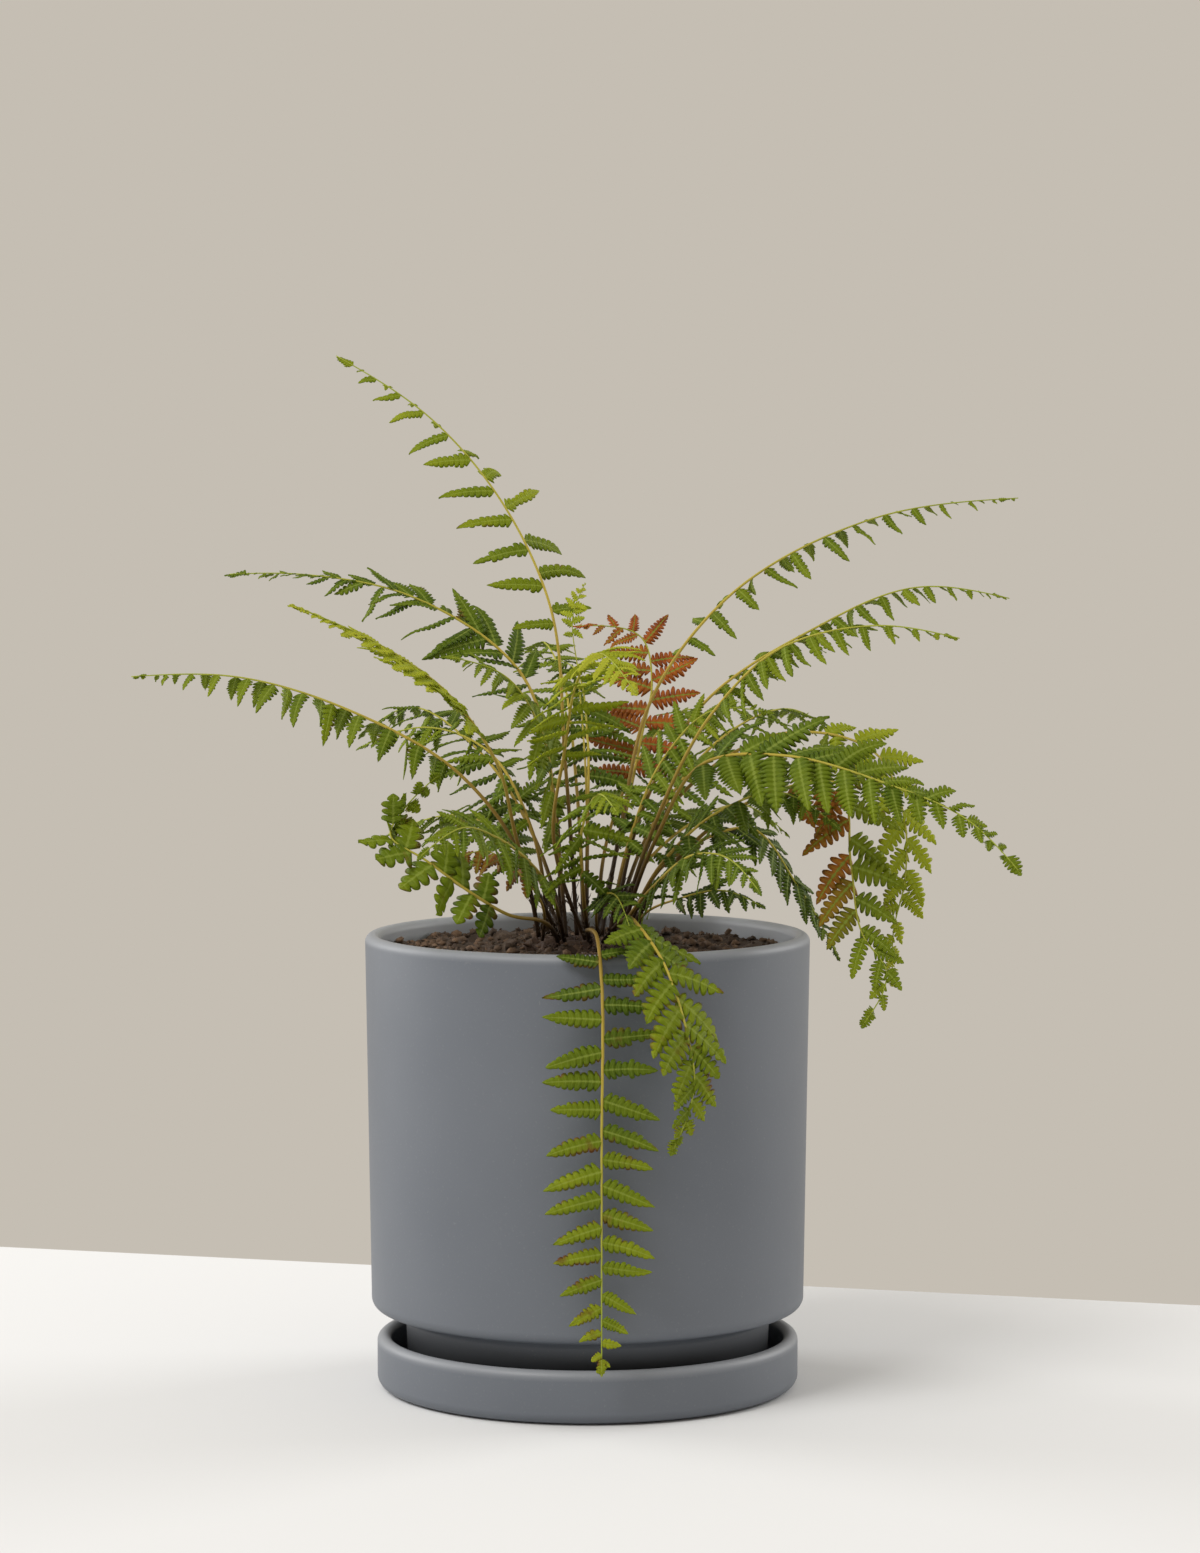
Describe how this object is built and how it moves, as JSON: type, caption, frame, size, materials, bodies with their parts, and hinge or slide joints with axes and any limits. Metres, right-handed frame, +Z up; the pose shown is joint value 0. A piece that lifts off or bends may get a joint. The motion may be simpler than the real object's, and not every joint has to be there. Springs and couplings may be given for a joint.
{
  "type": "potted fern",
  "caption": "Live fern with arching and trailing lobed fronds, rooted in soil in a cylindrical grey ceramic pot that stands on a matching saucer.",
  "frame": {"origin": "centre of the saucer's flat underside, on the surface that it stands on", "axes": "+Z up, -Y towards the side where the trailing fronds hang over the rim, +X to the right when seen from that side"},
  "size_m": [0.4052, 0.3655, 0.4653],
  "materials": {
    "pot_glaze": "satin",
    "soil": "matte",
    "crown": "matte",
    "leaf_green": "satin",
    "leaf_dark": "satin",
    "leaf_lime": "satin",
    "leaf_rust": "satin",
    "leaf_withered": "matte"
  },
  "bodies": {
    "root": {"saucer": "pot_glaze", "pot": "pot_glaze", "soil": "soil", "crown": "crown", "frond_tall_left": "leaf_green", "frond_dark_left": "leaf_dark", "frond_lime_left": "leaf_lime", "frond_long_left": "leaf_dark", "frond_curled_left": "leaf_dark", "frond_trailing_front": "leaf_green", "frond_trailing_right": "leaf_lime", "frond_right_upper": "leaf_green", "frond_right_second": "leaf_green", "frond_right_third": "leaf_green", "frond_rust_back": "leaf_rust", "frond_broad_right": "leaf_green", "frond_right_hanging": "leaf_green", "frond_right_lime": "leaf_lime", "frond_dark_right": "leaf_dark", "frond_lime_front": "leaf_lime", "frond_left_mid": "leaf_green", "frond_back_left": "leaf_dark", "frond_back_centre_left": "leaf_green", "frond_back_centre_right": "leaf_green", "frond_back_right": "leaf_green", "frond_right_mid": "leaf_dark", "frond_front_left_low": "leaf_green", "frond_front_right_low": "leaf_dark", "frond_front_centre": "leaf_green", "frond_inner_back": "leaf_dark", "frond_inner_right": "leaf_green", "frond_inner_left": "leaf_green", "frond_left_low_back": "leaf_green", "frond_right_low_back": "leaf_green", "frond_withered_left": "leaf_withered", "frond_low_right": "leaf_dark", "frond_low_front": "leaf_dark", "frond_young": "leaf_green"}
  },
  "joints": []
}
